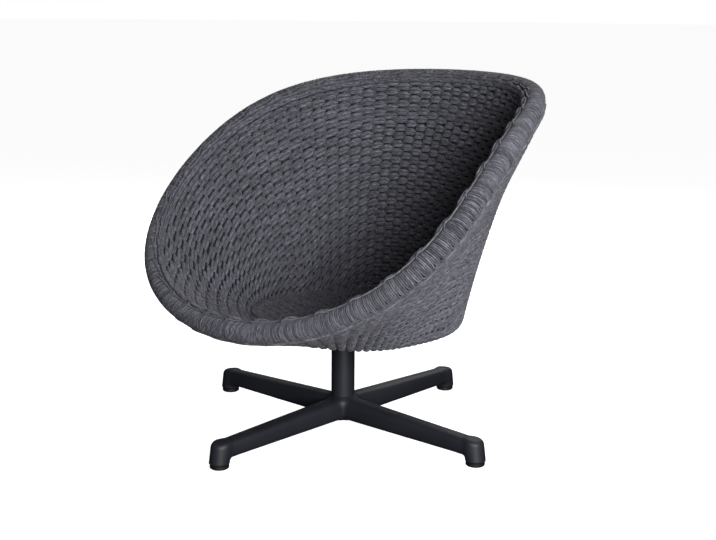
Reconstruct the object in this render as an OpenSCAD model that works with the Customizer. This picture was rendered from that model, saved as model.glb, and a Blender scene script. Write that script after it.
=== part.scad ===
// Outdoor lounge chair: a woven shell on a fixed four-armed foot, with a swivel in its column.
// The origin is on the floor under the column. The sitter faces -Y, and +Z is up.
// Every size is in millimetres and every angle in degrees.

/* [Rim] */
// Reach of the rim to either side of the column
rim_reach = 494.4; // [440:0.1:540]
// Reach of the rim towards the front and the back
rim_depth = 347.3; // [310:0.1:380]
// Rise and fall of the rim about its middle height
rim_lift = 235.5; // [180:0.1:270]
// Rise of the rim's middle height above the weave under the sitter
rim_rise = 324.5; // [290:0.1:370]
// Outside diameter of the tube inside the rim
rim_tube_d = 32; // [26:0.5:36]
// Wall of the tube inside the rim
rim_tube_wall = 2; // [1.5:0.1:3]
// Diameter of the cord wound round the rim
wrap_cord = 4; // [3:0.1:6]
// Diameter of the lacing cord laid along the inner shoulder of the rim
edge_cord_d = 3.5; // [2.5:0.1:6]
// Turn of the lacing cord round the rim, from the wall towards the sitter
edge_cord_turn = 105; // [60:1:150]

/* [Woven shell] */
// Thickness of the weave
wall_t = 18; // [12:0.5:22]
// Extra half thickness of the weave where it meets the rim
rim_swell = 14; // [8:0.5:18]
// Distance from the rim over which that swelling fades on the sitter's side
swell_in = 90; // [60:1:140]
// Distance from the rim over which that swelling fades on the outside
swell_out = 215; // [120:1:260]
// Half width of the seat floor, measured to the sharp corner
floor_side = 249; // [220:1:290]
// Reach of the seat floor to the front
floor_front = 193; // [180:1:230]
// Reach of the seat floor to the back
floor_back = 229; // [200:1:260]
// Middle height of the weave under the sitter
floor_z = 244; // [230:1:300]
// Bend radius from the front wall into the floor
corner_front = 60; // [30:1:70]
// Bend radius from the side walls into the floor
corner_side = 22; // [18:1:50]
// Bend radius from the back wall into the floor
corner_back = 24; // [18:1:50]
// Width of the flat lip between the bend and the floor ring
lip_w = 10; // [6:0.5:20]
// Thickness of the woven seat floor inside the ring
floor_t = 7; // [5:0.5:9]

/* [Frame] */
// Number of stakes that the weave goes round
stake_count = 40; // [24:4:48]
// Diameter of a stake
stake_d = 8; // [6:0.5:9]
// Diameter of the ring round the seat floor
ring_d = 14; // [10:0.5:16]
// Width of a cross bar
bar_w = 30; // [24:1:40]
// Height of a cross bar
bar_h = 15; // [12:0.5:20]
// Wall of a cross bar
bar_wall = 2; // [1.5:0.1:3]
// Distance between the middles of the two cross bars
bar_spacing = 120; // [90:1:160]
// Side of the seat plate
plate_w = 190; // [170:1:200]
// Thickness of the seat plate
plate_t = 5; // [4:0.5:8]
// Corner radius of the seat plate
plate_round = 18; // [8:1:25]
// Distance between the plate's bolts along a cross bar
bolt_spacing = 140; // [110:1:150]
// Diameter of a plate bolt
bolt_d = 8; // [6:0.5:9]

/* [Star base] */
// Distance from the column to the middle of a foot
arm_reach = 371; // [320:1:420]
// Turn of the star against the seat
arm_turn = 9.5; // [0:0.5:45]
// Width of an arm at the column
arm_root_w = 46.8; // [40:0.2:50]
// Width of an arm at its foot
arm_tip_w = 40; // [36:0.2:40.8]
// Height of an arm's top at the column
arm_root_top = 69; // [60:0.5:70.5]
// Height of an arm's top at its foot
arm_tip_top = 54.6; // [50:0.2:55.6]
// Height of the arms' underside
arm_under = 18.5; // [16:0.5:22]
// Diameter of a foot
foot_d = 41.2; // [41:0.2:46]
// Height of a foot's top
foot_top = 56; // [56:0.5:60]
// Rounding of a foot's top edge
foot_round = 12; // [6:0.5:14]
// Diameter of a glide
glide_d = 40; // [36:0.5:41]
// Height of a glide
glide_h = 9.5; // [8:0.5:12]
// Diameter of a glide's stud
glide_stud_d = 8; // [6:0.5:10]
// Depth of the casting pockets under the arms
pocket_depth = 22; // [12:1:26]
// Width of the casting pockets
pocket_w = 28; // [20:1:30]

/* [Column] */
// Outside diameter of the column and of the hub
column_d = 52; // [50:0.5:60]
// Wall of the column tube
column_wall = 3; // [2:0.1:4]
// Height of the hub's top
hub_top = 71; // [71:0.5:76]
// Diameter of the spindle that turns in the column
spindle_d = 30; // [24:0.5:34]
// Running clearance between the spindle and its bushes, on the radius
spindle_play = 0.05; // [0.02:0.01:0.08]
// Height of the spindle's collar under the seat plate
collar_h = 10; // [8:0.5:12]
// Diameter of the bolt that clamps the column to the hub
clamp_bolt_d = 12; // [10:0.5:14]

/* [Hidden] */
$fn = 96;

// Shared clearances: hard pieces that seat in each other, woven pieces that lie on each other
seat_gap = 0.02;
weave_gap = 0.3;
// Extra reach of a cut past the faces that it opens
overrun = 1;

// Shape of the rim: how much its second and third waves add to its main wave
rim_x_shares = [1, 0.0752, 0.0665];
rim_y_shares = [1, -0.0351, 0.0521];
rim_z_shares = [1, 0.1924, 0];

// Shape of the wall between rim and floor: inward bow of each wall as a share of its length
bow_front_share = 0.018;
bow_side_share = -0.025;
bow_back_share = 0.077;
// Squareness of the floor's outline, 2 for an ellipse
floor_power = 2.4;

// Divisions of the swept shapes
rim_steps = 60;
rim_sides = 12;
wall_steps = 6;
// Power by which a meridian's points crowd towards the rim
wall_crowding = 1.4;
corner_steps = 4;
// Facets and half turn of the weave's upper face, which lies round the rim
hug_steps = 4;
hug_turn = 90;
ring_sides = 8;
cord_sides = 6;
stake_sides = 5;
stake_wall_steps = 3;
stake_corner_steps = 2;

// Star base details
arm_count = 4;
arm_power = 3.2;
arm_points = 40;
arm_skin = 0.5;
arm_fillet = 10;
web_low = 25;
web_top = 57;
hub_chamfer = 1;
glide_edge = 2;
glide_neck_d = 34;
glide_neck_h = 1;
stud_floor = 3;
stud_top = 34;
pocket_round = 8;
pocket_start = 54;
pocket_rib = 8;
pocket_end = 338;

// Swivel stack, from the weave down
floor_top = floor_z + wall_t / 2;
bar_top = floor_top - floor_t;
plate_top = bar_top - bar_h;
collar_top = plate_top - plate_t;
swivel_gap = 0.2;
washer_t = 2;
washer_top = collar_top - collar_h - swivel_gap;
flange_t = 3;
column_top = washer_top - washer_t - flange_t;
column_bore = column_d - 2 * column_wall;
collar_d = 48;
thrust_play = 0.3;
upper_bush_l = 30;
lower_bush_l = 25;
lower_bush_z = 100;
keeper_t = 2;
keeper_room = 2;
keeper_d = column_bore - 2 * keeper_room;
keeper_z = lower_bush_z - thrust_play - keeper_t;
snap_t = 1.5;
snap_depth = 1.5;
snap_d = 36;
snap_slot = 8;
snap_z = keeper_z - snap_t;
spindle_end = 4;

// Clamp between column and hub
plug_t = 16;
spigot_d = 30;
spigot_short = 1;
counterbore_d = 40;
counterbore_top = 36;
clamp_washer_d = 38;
clamp_washer_t = 2.5;
clamp_head_af = 19;
clamp_head_h = 7.5;

// Plate bolts
bolt_head_af = 13;
bolt_head_h = 5.5;
bolt_washer_d = 16;
bolt_washer_t = 1.6;
insert_d = 11;
insert_flange_d = 14;
insert_flange_t = 1;
insert_l = 10;

// A wave with its second and third harmonics
function wave_sin(t, s) = s[0] * sin(t) + s[1] * sin(2 * t) + s[2] * sin(3 * t);
function wave_cos(t, s) = s[0] * cos(t) + s[1] * cos(2 * t) + s[2] * cos(3 * t);

// Centre line of the rim; t runs once round, from the front over the +X side
function rim_at(t) = [
    rim_reach * wave_sin(t, rim_x_shares),
    -rim_depth * wave_cos(t, rim_y_shares),
    floor_z + rim_rise - rim_lift * wave_cos(t, rim_z_shares)
];
function unit(v) = v / norm(v);
function rim_dir(t) = unit(rim_at(t + 1) - rim_at(t - 1));

// Corner of wall and floor as a distance from the column, in the direction phi from the front
function floor_reach(phi) = let (
    depth = cos(phi) > 0 ? floor_front : floor_back,
    side_term = pow(abs(sin(phi)) / floor_side, floor_power),
    depth_term = pow(abs(cos(phi)) / depth, floor_power)
) pow(side_term + depth_term, -1 / floor_power);

// Blend of a front, a side and a back value in the direction phi
function blend(phi, front, side, back) =
    front * pow((1 + cos(phi)) / 2, 2) + side * pow(sin(phi), 2) / 2 + back * pow((1 - cos(phi)) / 2, 2);

// Points of the two curves of a meridian
function bezier(a, m, b, u) = pow(1 - u, 2) * a + 2 * u * (1 - u) * m + u * u * b;
function bend(a, m, b, w, u) =
    (pow(1 - u, 2) * a + 2 * u * (1 - u) * w * m + u * u * b) / (pow(1 - u, 2) + 2 * u * (1 - u) * w + u * u);

// What a meridian is made of, in its own plane of [distance from the column, height]:
// [direction phi, rim point, wall's control point, sharp corner, end of the bend, bend weight, last share]
function meridian_frame(t) = let (
    p = rim_at(t),
    phi = atan2(p.x, -p.y),
    rim = [norm([p.x, p.y]), p.z],
    corner = [floor_reach(phi), floor_z],
    chord = corner - rim,
    inward = [chord.y, -chord.x],
    middle = (rim + corner) / 2 + blend(phi, bow_front_share, bow_side_share, bow_back_share) * inward,
    last = unit(corner - middle),
    turn = acos(-last.x),
    cut = blend(phi, corner_front, corner_side, corner_back) * tan(turn / 2)
) [phi, rim, middle, corner, corner - [cut, 0], cos(turn / 2), 1 - cut / (2 * norm(corner - middle))];

// Share of the wall's curve at which a square end of the given half width clears a round rim
function clear_share(t, m, radius, end_r) = let (
    along = unit(m[2] - m[1]),
    slant = abs([along.x * sin(m[0]), -along.x * cos(m[0]), along.y] * rim_dir(t))
) (radius + end_r * slant) / sqrt(1 - slant * slant) / (2 * norm(m[2] - m[1]));

// Middle line of the weave on one meridian, in its own plane, from the rim's clearance to the end of the bend
function meridian(t, radius, end_r, walls, corners) = let (
    m = meridian_frame(t),
    first = clear_share(t, m, radius, end_r)
) concat(
    [for (i = [0:walls]) bezier(m[1], m[2], m[3], first + (m[6] - first) * pow(i / walls, wall_crowding))],
    [for (i = [1:corners]) bend(bezier(m[1], m[2], m[3], m[6]), m[3], m[4], m[5], i / corners)]
);
function in_space(phi, q) = [q.x * sin(phi), -q.x * cos(phi), q.y];

// Closed outline of a circle about a point, in the plane of two directions
function circle_at(centre, radius, u, v, sides) =
    [for (k = [0:sides - 1]) centre + radius * (cos(360 * k / sides) * u + sin(360 * k / sides) * v)];

// Sections of a round body that follows the rim line
function rim_section(t, radius) = let (
    d = rim_dir(t),
    side = unit(cross(d, [0, 0, 1]))
) circle_at(rim_at(t), radius, side, cross(side, d), rim_sides);

// Joins the points of all sections into one list
function joined(sections) = [for (s = sections) each s];

// Side faces between neighbouring sections; looped closes the last section onto the first
function side_faces(count, sides, looped, start = 0, flip = false) = [
    for (i = [0:count - (looped ? 1 : 2)], k = [0:sides - 1]) let (
        a = start + i * sides + k,
        b = start + i * sides + (k + 1) % sides,
        c = start + ((i + 1) % count) * sides + (k + 1) % sides,
        d = start + ((i + 1) % count) * sides + k
    ) each (flip ? [[a, b, c], [a, c, d]] : [[a, c, b], [a, d, c]])
];

// A body swept through sections that close on themselves
module swept_ring(sections) {
    polyhedron(
        points = joined(sections),
        faces = side_faces(len(sections), len(sections[0]), true),
        convexity = 6
    );
}

// A body swept through sections, with a flat end at either side
module swept_bar(sections) {
    sides = len(sections[0]);
    last = (len(sections) - 1) * sides;
    polyhedron(
        points = joined(sections),
        faces = concat(
            side_faces(len(sections), sides, false),
            [for (k = [1:sides - 2]) [0, k, k + 1]],
            [for (k = [1:sides - 2]) [last, last + k + 1, last + k]]
        ),
        convexity = 6
    );
}

// A hollow body swept through pairs of outer and inner sections, open at its two ends
module swept_sleeve(outer, inner) {
    sides = len(outer[0]);
    count = len(outer);
    start = count * sides;
    last = (count - 1) * sides;
    polyhedron(
        points = concat(joined(outer), joined(inner)),
        faces = concat(
            side_faces(count, sides, false),
            side_faces(count, sides, false, start, true),
            [for (k = [0:sides - 1]) let (n = (k + 1) % sides)
                each [[k, n, start + n], [k, start + n, start + k]]],
            [for (k = [0:sides - 1]) let (n = (k + 1) % sides)
                each [[last + k, start + last + n, last + n], [last + k, start + last + k, start + last + n]]]
        ),
        convexity = 10
    );
}

// A sleeve round the rim line, cut where its ends meet at the angle seam
module rim_sleeve(seam, outer_r, inner_r) {
    gap = 180 * weave_gap / (PI * rim_reach);
    turns = [for (i = [0:rim_steps]) seam + gap + (360 - 2 * gap) * i / rim_steps];
    swept_sleeve([for (t = turns) rim_section(t, outer_r)], [for (t = turns) rim_section(t, inner_r)]);
}

// Rectangle with round corners, centred
module round_rect(size, r) {
    square([size.x - 2 * r, size.y], center = true);
    square([size.x, size.y - 2 * r], center = true);
    for (x = [-1, 1], y = [-1, 1])
        translate([x * (size.x / 2 - r), y * (size.y / 2 - r)])
            circle(r);
}

// Flat ring between two heights
module washer(outer_d, inner_d, low, high) {
    translate([0, 0, low])
        linear_extrude(high - low)
            difference() {
                circle(d = outer_d);
                circle(d = inner_d);
            }
}

module on_each_arm() {
    for (k = [0:arm_count - 1])
        rotate([0, 0, arm_turn + 360 * k / arm_count])
            children();
}

// Rounded section of an arm that stands on the underside and reaches to a given height
module arm_section(at, width, top) {
    height = top - arm_under;
    outline = [for (k = [0:arm_points - 1]) let (a = 360 * k / arm_points, c = cos(a), s = sin(a)) [
        sign(c) * pow(abs(c), 2 / arm_power) * width / 2,
        sign(s) * pow(abs(s), 2 / arm_power) * height / 2
    ]];
    translate([at, 0, arm_under + height / 2])
        rotate([90, 0, 90])
            linear_extrude(arm_skin)
                polygon(outline);
}

module arm() {
    hull() {
        arm_section(0, arm_root_w, arm_root_top);
        arm_section(arm_reach, arm_tip_w, arm_tip_top);
    }
}

module foot() {
    r = foot_d / 2;
    translate([arm_reach, 0, 0])
        rotate_extrude()
            union() {
                polygon([
                    [0, glide_h],
                    [r, glide_h],
                    [r, foot_top - foot_round],
                    [r - foot_round, foot_top],
                    [0, foot_top]
                ]);
                intersection() {
                    translate([r - foot_round, foot_top - foot_round])
                        circle(foot_round);
                    translate([0, foot_top - foot_round])
                        square([r, foot_round]);
                }
            }
}

// Web that rounds the inner corners between the arms
module hub_web() {
    half = arm_root_w / 2 + arm_fillet;
    translate([0, 0, web_low])
        linear_extrude(web_top - web_low)
            difference() {
                square(2 * half, center = true);
                for (x = [-1, 1], y = [-1, 1])
                    translate([x * half, y * half])
                        circle(arm_fillet);
            }
}

module casting_pocket(from, to) {
    translate([(from + to) / 2, 0, arm_under - overrun])
        linear_extrude(pocket_depth + overrun)
            round_rect([to - from, pocket_w], pocket_round);
}

module star_base() {
    hub_h = hub_top - arm_under;
    middle = (pocket_start + pocket_end) / 2;
    color([0.06, 0.06, 0.065])
        difference() {
            union() {
                on_each_arm() arm();
                on_each_arm() foot();
                rotate([0, 0, arm_turn]) hub_web();
                translate([0, 0, arm_under])
                    cylinder(h = hub_h - hub_chamfer, d = column_d);
                translate([0, 0, hub_top - hub_chamfer])
                    cylinder(h = hub_chamfer, d1 = column_d, d2 = column_d - 2 * hub_chamfer);
            }
            translate([0, 0, counterbore_top - overrun])
                cylinder(h = hub_top - counterbore_top + 2 * overrun, d = spigot_d + 2 * seat_gap);
            translate([0, 0, arm_under - overrun])
                cylinder(h = counterbore_top - arm_under + overrun, d = counterbore_d);
            on_each_arm() {
                casting_pocket(pocket_start, middle - pocket_rib / 2);
                casting_pocket(middle + pocket_rib / 2, pocket_end);
                translate([arm_reach, 0, glide_h - overrun])
                    cylinder(h = stud_top - glide_h + overrun, d = glide_stud_d + 2 * seat_gap);
            }
        }
}

module glides() {
    r = glide_d / 2;
    bore = glide_stud_d / 2 + seat_gap;
    neck_z = glide_h - glide_neck_h;
    color([0.03, 0.03, 0.03])
        on_each_arm()
            translate([arm_reach, 0, 0])
                rotate_extrude()
                    polygon([
                        [0, 0],
                        [r - glide_edge, 0],
                        [r, glide_edge],
                        [r, neck_z],
                        [glide_neck_d / 2, neck_z],
                        [glide_neck_d / 2, glide_h],
                        [bore, glide_h],
                        [bore, stud_floor],
                        [0, stud_floor]
                    ]);
}

module glide_studs() {
    color([0.6, 0.6, 0.62])
        on_each_arm()
            translate([arm_reach, 0, stud_floor])
                cylinder(h = stud_top - stud_floor, d = glide_stud_d);
}

module column_tube() {
    r = column_d / 2;
    bore = column_bore / 2;
    color([0.06, 0.06, 0.065])
        rotate_extrude()
            polygon([
                [bore, hub_top],
                [r - hub_chamfer, hub_top],
                [r, hub_top + hub_chamfer],
                [r, column_top],
                [bore, column_top]
            ]);
}

module column_plug() {
    spigot_low = counterbore_top + spigot_short;
    color([0.55, 0.55, 0.57])
        difference() {
            union() {
                translate([0, 0, hub_top])
                    cylinder(h = plug_t, d = column_bore - 2 * seat_gap);
                translate([0, 0, spigot_low])
                    cylinder(h = hub_top - spigot_low, d = spigot_d);
            }
            translate([0, 0, spigot_low - overrun])
                cylinder(h = hub_top + plug_t - spigot_low + 2 * overrun, d = clamp_bolt_d + 2 * seat_gap);
        }
}

module clamp_bolt() {
    head_top = counterbore_top - clamp_washer_t;
    color([0.65, 0.65, 0.67])
        union() {
            translate([0, 0, head_top - clamp_head_h])
                cylinder(h = clamp_head_h, d = clamp_head_af / cos(30), $fn = 6);
            translate([0, 0, head_top])
                cylinder(h = hub_top + plug_t - head_top, d = clamp_bolt_d);
        }
}

module clamp_washer() {
    color([0.65, 0.65, 0.67])
        washer(
            clamp_washer_d, clamp_bolt_d + 2 * seat_gap, counterbore_top - clamp_washer_t, counterbore_top
        );
}

module lower_bush() {
    color([0.85, 0.84, 0.8])
        washer(
            column_bore - 2 * seat_gap,
            spindle_d + 2 * spindle_play,
            lower_bush_z,
            lower_bush_z + lower_bush_l
        );
}

module upper_bush() {
    bore = spindle_d + 2 * spindle_play;
    color([0.85, 0.84, 0.8])
        union() {
            washer(column_bore - 2 * seat_gap, bore, column_top - upper_bush_l, column_top);
            washer(column_d, bore, column_top, column_top + flange_t);
        }
}

module thrust_washer() {
    color([0.2, 0.2, 0.2])
        washer(column_d, spindle_d + 2 * thrust_play, washer_top - washer_t, washer_top);
}

module spindle() {
    r = spindle_d / 2;
    neck = r - snap_depth;
    low = snap_z - spindle_end;
    collar_low = collar_top - collar_h;
    color([0.6, 0.6, 0.62])
        rotate_extrude()
            polygon([
                [0, low],
                [r, low],
                [r, snap_z],
                [neck, snap_z],
                [neck, snap_z + snap_t],
                [r, snap_z + snap_t],
                [r, collar_low],
                [collar_d / 2, collar_low],
                [collar_d / 2, collar_top],
                [r, collar_top],
                [r, plate_top],
                [0, plate_top]
            ]);
}

module retaining_washer() {
    color([0.65, 0.65, 0.67])
        washer(keeper_d, spindle_d + 2 * seat_gap, keeper_z, keeper_z + keeper_t);
}

module retaining_ring() {
    color([0.3, 0.3, 0.32])
        translate([0, 0, snap_z])
            linear_extrude(snap_t)
                difference() {
                    circle(d = snap_d);
                    circle(d = spindle_d - 2 * snap_depth + 2 * seat_gap);
                    translate([0, -snap_slot / 2])
                        square([snap_d, snap_slot]);
                }
}

module at_plate_bolts() {
    for (x = [-1, 1], y = [-1, 1])
        translate([x * bolt_spacing / 2, y * bar_spacing / 2, 0])
            children();
}

module seat_plate() {
    color([0.1, 0.1, 0.11])
        translate([0, 0, collar_top])
            linear_extrude(plate_t)
                difference() {
                    round_rect([plate_w, plate_w], plate_round);
                    circle(d = spindle_d + 2 * seat_gap);
                    at_plate_bolts() circle(d = bolt_d + 2 * seat_gap);
                }
}

module plate_bolts() {
    head_top = collar_top - bolt_washer_t;
    color([0.65, 0.65, 0.67])
        at_plate_bolts() {
            translate([0, 0, head_top - bolt_head_h])
                cylinder(h = bolt_head_h, d = bolt_head_af / cos(30), $fn = 6);
            translate([0, 0, head_top])
                cylinder(h = plate_top + insert_l - head_top, d = bolt_d);
        }
}

module plate_washers() {
    color([0.65, 0.65, 0.67])
        at_plate_bolts()
            washer(bolt_washer_d, bolt_d + 2 * seat_gap, collar_top - bolt_washer_t, collar_top);
}

// Threaded inserts in the lower wall of the bars
module bar_inserts() {
    bore = bolt_d + 2 * seat_gap;
    lip_low = plate_top + bar_wall;
    color([0.7, 0.68, 0.6])
        at_plate_bolts() {
            washer(insert_d, bore, plate_top, lip_low);
            washer(insert_flange_d, bore, lip_low, lip_low + insert_flange_t);
            washer(insert_d, bore, lip_low + insert_flange_t, plate_top + insert_l);
        }
}

// Direction that the floor ring's outer side faces
function ring_side(t) = let (ahead = ring_at(t + 1) - ring_at(t - 1)) unit([ahead.y, -ahead.x, 0]);

// Half length of a bar whose corners both stand just inside the floor ring
function bar_half(y) = let (
    edge = [for (i = [0:rim_steps / 2]) let (t = 360 * i / rim_steps)
        ring_at(t) - (ring_d / 2 + weave_gap) * ring_side(t)]
) min([
    for (i = [1:rim_steps / 2])
        for (s = [-1, 1])
            let (a = edge[i - 1], b = edge[i], corner = y + s * bar_w / 2)
                if (a.y <= corner && corner <= b.y)
                    a.x + (b.x - a.x) * (corner - a.y) / (b.y - a.y)
]);

module cross_bars() {
    color([0.1, 0.1, 0.11])
        for (s = [-1, 1]) {
            half = bar_half(s * bar_spacing / 2);
            difference() {
                translate([-half, s * bar_spacing / 2 - bar_w / 2, plate_top])
                    cube([2 * half, bar_w, bar_h]);
                translate([-half - overrun, s * bar_spacing / 2 - bar_w / 2 + bar_wall, plate_top + bar_wall])
                    cube([2 * (half + overrun), bar_w - 2 * bar_wall, bar_h - 2 * bar_wall]);
                for (x = [-1, 1])
                    translate([x * bolt_spacing / 2, s * bar_spacing / 2, plate_top - overrun])
                        cylinder(h = bar_wall + 2 * overrun, d = insert_d + 2 * seat_gap);
            }
        }
}

// Centre line of the floor ring, just inside the lip of the wall
function ring_at(t) = let (
    m = meridian_frame(t),
    reach = m[4].x - lip_w - weave_gap - ring_d / 2
) in_space(m[0], [reach, floor_z]);

module floor_ring() {
    color([0.1, 0.1, 0.11])
        swept_ring([for (i = [0:rim_steps - 1]) let (t = 360 * i / rim_steps)
            circle_at(ring_at(t), ring_d / 2, ring_side(t), [0, 0, 1], ring_sides)]);
}

// Path of one stake, from the rim tube through the weave to the floor ring
function stake_path(t) = let (
    m = meridian_frame(t),
    line = meridian(t, rim_tube_d / 2 + weave_gap, stake_d / 2, stake_wall_steps, stake_corner_steps),
    end = m[4] - [lip_w, 0]
) concat(line, [end]);

module stakes() {
    color([0.12, 0.12, 0.13])
        for (i = [0:stake_count - 1]) {
            t = 360 * (i + 1 / 2) / stake_count;
            phi = meridian_frame(t)[0];
            path = stake_path(t);
            last = len(path) - 1;
            swept_bar([for (k = [0:last]) let (
                ahead = unit(path[min(k + 1, last)] - path[max(k - 1, 0)]),
                across = in_space(phi, [-ahead.y, ahead.x])
            ) circle_at(in_space(phi, path[k]), stake_d / 2, [cos(phi), sin(phi), 0], across, stake_sides)]);
        }
}

module rim_tube() {
    color([0.1, 0.1, 0.11])
        rim_sleeve(0, rim_tube_d / 2, rim_tube_d / 2 - rim_tube_wall);
}

module rim_wrap() {
    color([0.33, 0.36, 0.39])
        rim_sleeve(180, rim_tube_d / 2 + wrap_cord, rim_tube_d / 2 + weave_gap);
}

// Point beside the rim line at a distance from it, turned from the wall's direction towards the sitter
function shoulder_at(t, reach, turn) = let (
    m = meridian_frame(t),
    d = rim_dir(t),
    along = unit(m[2] - m[1]),
    down = in_space(m[0], along),
    down_flat = unit(down - (down * d) * d),
    inner = in_space(m[0], [along.y, -along.x]),
    inner_flat = unit(inner - (inner * d) * d - (inner * down_flat) * down_flat)
) rim_at(t) + reach * (cos(turn) * down_flat + sin(turn) * inner_flat);

module edge_cord() {
    r = edge_cord_d / 2;
    reach = rim_tube_d / 2 + wrap_cord + weave_gap + r;
    points = [for (i = [0:rim_steps - 1]) shoulder_at(360 * i / rim_steps, reach, edge_cord_turn)];
    color([0.4, 0.43, 0.46])
        swept_ring([for (i = [0:rim_steps - 1]) let (
            ahead = unit(points[(i + 1) % rim_steps] - points[(i + rim_steps - 1) % rim_steps]),
            side = unit(cross(ahead, [0, 0, 1]))
        ) circle_at(points[i], r, side, cross(side, ahead), cord_sides)]);
}

// Middle surface of the weave: one row of points for each direction round the chair
function weave_rows() = [for (i = [0:rim_steps - 1]) let (
    t = 360 * i / rim_steps,
    m = meridian_frame(t),
    line = meridian(t, rim_tube_d / 2 + wrap_cord, 0, wall_steps, corner_steps)
) [for (q = concat(line, [m[4] - [lip_w, 0]])) in_space(m[0], q)]];

// Half thickness of the weave at a point, which swells towards the rim over the given reach
function half_weave(p, t, reach) = let (
    near = 1 - min(1, norm(p - rim_at(t)) / reach)
) wall_t / 2 + rim_swell * near * near * (3 - 2 * near);

module woven_wall() {
    rows = weave_rows();
    last = len(rows[0]) - 1;
    normals = [for (i = [0:rim_steps - 1]) [for (k = [0:last]) let (
        next_row = rows[(i + 1) % rim_steps],
        prev_row = rows[(i + rim_steps - 1) % rim_steps]
    ) unit(cross(next_row[k] - prev_row[k], rows[i][min(k + 1, last)] - rows[i][max(k - 1, 0)]))]];
    hug_r = (rim_tube_d / 2 + wrap_cord + 2 * weave_gap) / cos(hug_turn / hug_steps);
    color([0.22, 0.25, 0.28])
        swept_ring([for (i = [0:rim_steps - 1]) let (t = 360 * i / rim_steps) concat(
            [for (k = [1:last]) rows[i][k] + half_weave(rows[i][k], t, swell_in) * normals[i][k]],
            [for (k = [last:-1:1]) rows[i][k] - half_weave(rows[i][k], t, swell_out) * normals[i][k]],
            [for (s = [-hug_steps:2:hug_steps]) shoulder_at(t, hug_r, hug_turn * s / hug_steps)]
        )]);
}

module woven_floor() {
    outline = [for (i = [0:rim_steps - 1]) let (
        p = ring_at(360 * i / rim_steps),
        flat = [p.x, p.y]
    ) flat - (ring_d / 2 + 2 * weave_gap) * unit(flat)];
    color([0.2, 0.22, 0.25])
        translate([0, 0, floor_top - floor_t])
            linear_extrude(floor_t)
                polygon(outline);
}

star_base();
glides();
glide_studs();
column_tube();
column_plug();
clamp_bolt();
clamp_washer();
lower_bush();
upper_bush();
thrust_washer();
spindle();
retaining_washer();
retaining_ring();
seat_plate();
plate_bolts();
plate_washers();
bar_inserts();
cross_bars();
floor_ring();
stakes();
rim_tube();
rim_wrap();
edge_cord();
woven_wall();
woven_floor();
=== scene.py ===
"""Outdoor lounge chair with a rope-woven shell on a swivelling star foot, dressed round its CAD frame."""

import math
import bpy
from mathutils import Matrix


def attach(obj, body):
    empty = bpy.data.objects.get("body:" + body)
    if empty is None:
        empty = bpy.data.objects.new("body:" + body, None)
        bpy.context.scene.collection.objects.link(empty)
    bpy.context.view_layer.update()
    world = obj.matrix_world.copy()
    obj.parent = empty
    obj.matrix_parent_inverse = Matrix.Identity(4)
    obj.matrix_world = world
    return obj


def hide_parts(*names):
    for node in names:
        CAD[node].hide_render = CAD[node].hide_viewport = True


bl_info = {
    "name": "Woven Swivel Lounge Chair",
    "version": (1, 0, 0),
    "blender": (4, 5, 0),
    "location": "3D View > Sidebar > Lounge Chair",
    "description": "Weaves the rope shell of an outdoor lounge chair and finishes its cast star foot",
    "category": "Add Mesh",
}

import bpy
import numpy as np
from mathutils import Matrix, Vector

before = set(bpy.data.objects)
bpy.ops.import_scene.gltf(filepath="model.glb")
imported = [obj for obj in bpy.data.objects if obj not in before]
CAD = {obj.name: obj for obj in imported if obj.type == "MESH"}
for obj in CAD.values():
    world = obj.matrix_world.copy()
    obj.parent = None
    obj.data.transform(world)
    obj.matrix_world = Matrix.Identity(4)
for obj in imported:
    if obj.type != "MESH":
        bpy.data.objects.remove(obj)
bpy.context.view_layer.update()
TAU = 2 * math.pi

# Rim line, in metres: amplitudes of one, two and three waves round the chair
RIM_X = (0.4944, 0.0372, 0.0329)
RIM_Y = (0.3473, -0.0122, 0.0181)
RIM_Z = (0.2355, 0.0453, 0.0)
RIM_MIDDLE = 0.5685
RIM_TUBE_R = 0.016
RIM_WRAP_R = 0.020

# Seat floor and the meridians that lead to it
FLOOR_SIDE = 0.249
FLOOR_FRONT = 0.193
FLOOR_BACK = 0.229
FLOOR_POWER = 2.4
FLOOR_Z = 0.244
BEND_RADII = (0.060, 0.022, 0.024)
BOW_SHARES = (0.018, -0.025, 0.077)
LIP = 0.010

# Half thickness of the weave, its extra at the rim, and how far down the two sides that fades
HALF_WALL = 0.009
RIM_SWELL = 0.014
FADE_IN = 0.090
FADE_OUT = 0.215

# Tables of the shell: directions round the chair, steps along a meridian, and its reach from the rim;
# a look-up stays a little more than one step short of the end
TURNS = 720
STEP = 0.001
REACH = 0.700
SHORT_OF_END = 1.001
SHELL_T = np.arange(TURNS) * TAU / TURNS

# Points of a meridian in the wall, the bend and the flat run; all normals face one point over the seat
WALL_STEPS = 160
BEND_STEPS = 48
FLAT_STEPS = 59
FLAT_REACH = 0.12
FACED_POINT = (0, 0, 0.9)
LEAST_LENGTH = 1e-12


# Curves that the whole shell follows

def ease(x):
    """Zero up to 0, one from 1 on, and a smooth rise between them."""
    x = np.clip(x, 0, 1)
    return x * x * (3 - 2 * x)


def waves(t, heights, func):
    """One, two and more waves round the chair, added up."""
    return sum(a * func((i + 1) * t) for i, a in enumerate(heights))


def rim_line(t):
    """Centre line of the rim; t runs once round, from the front over the sitter's left."""
    return np.stack([
        waves(t, RIM_X, np.sin),
        -waves(t, RIM_Y, np.cos),
        RIM_MIDDLE - waves(t, RIM_Z, np.cos),
    ], -1)


def unit(v):
    """The same directions, each one long."""
    return v / np.maximum(np.linalg.norm(v, axis=-1, keepdims=True), LEAST_LENGTH)


def blend_round(phi, values):
    """A value that changes smoothly round the chair, given for its front, sides and back."""
    front, side, back = values
    c, s = np.cos(phi), np.sin(phi)
    return front * ((1 + c) / 2) ** 2 + side * s * s / 2 + back * ((1 - c) / 2) ** 2


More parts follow.
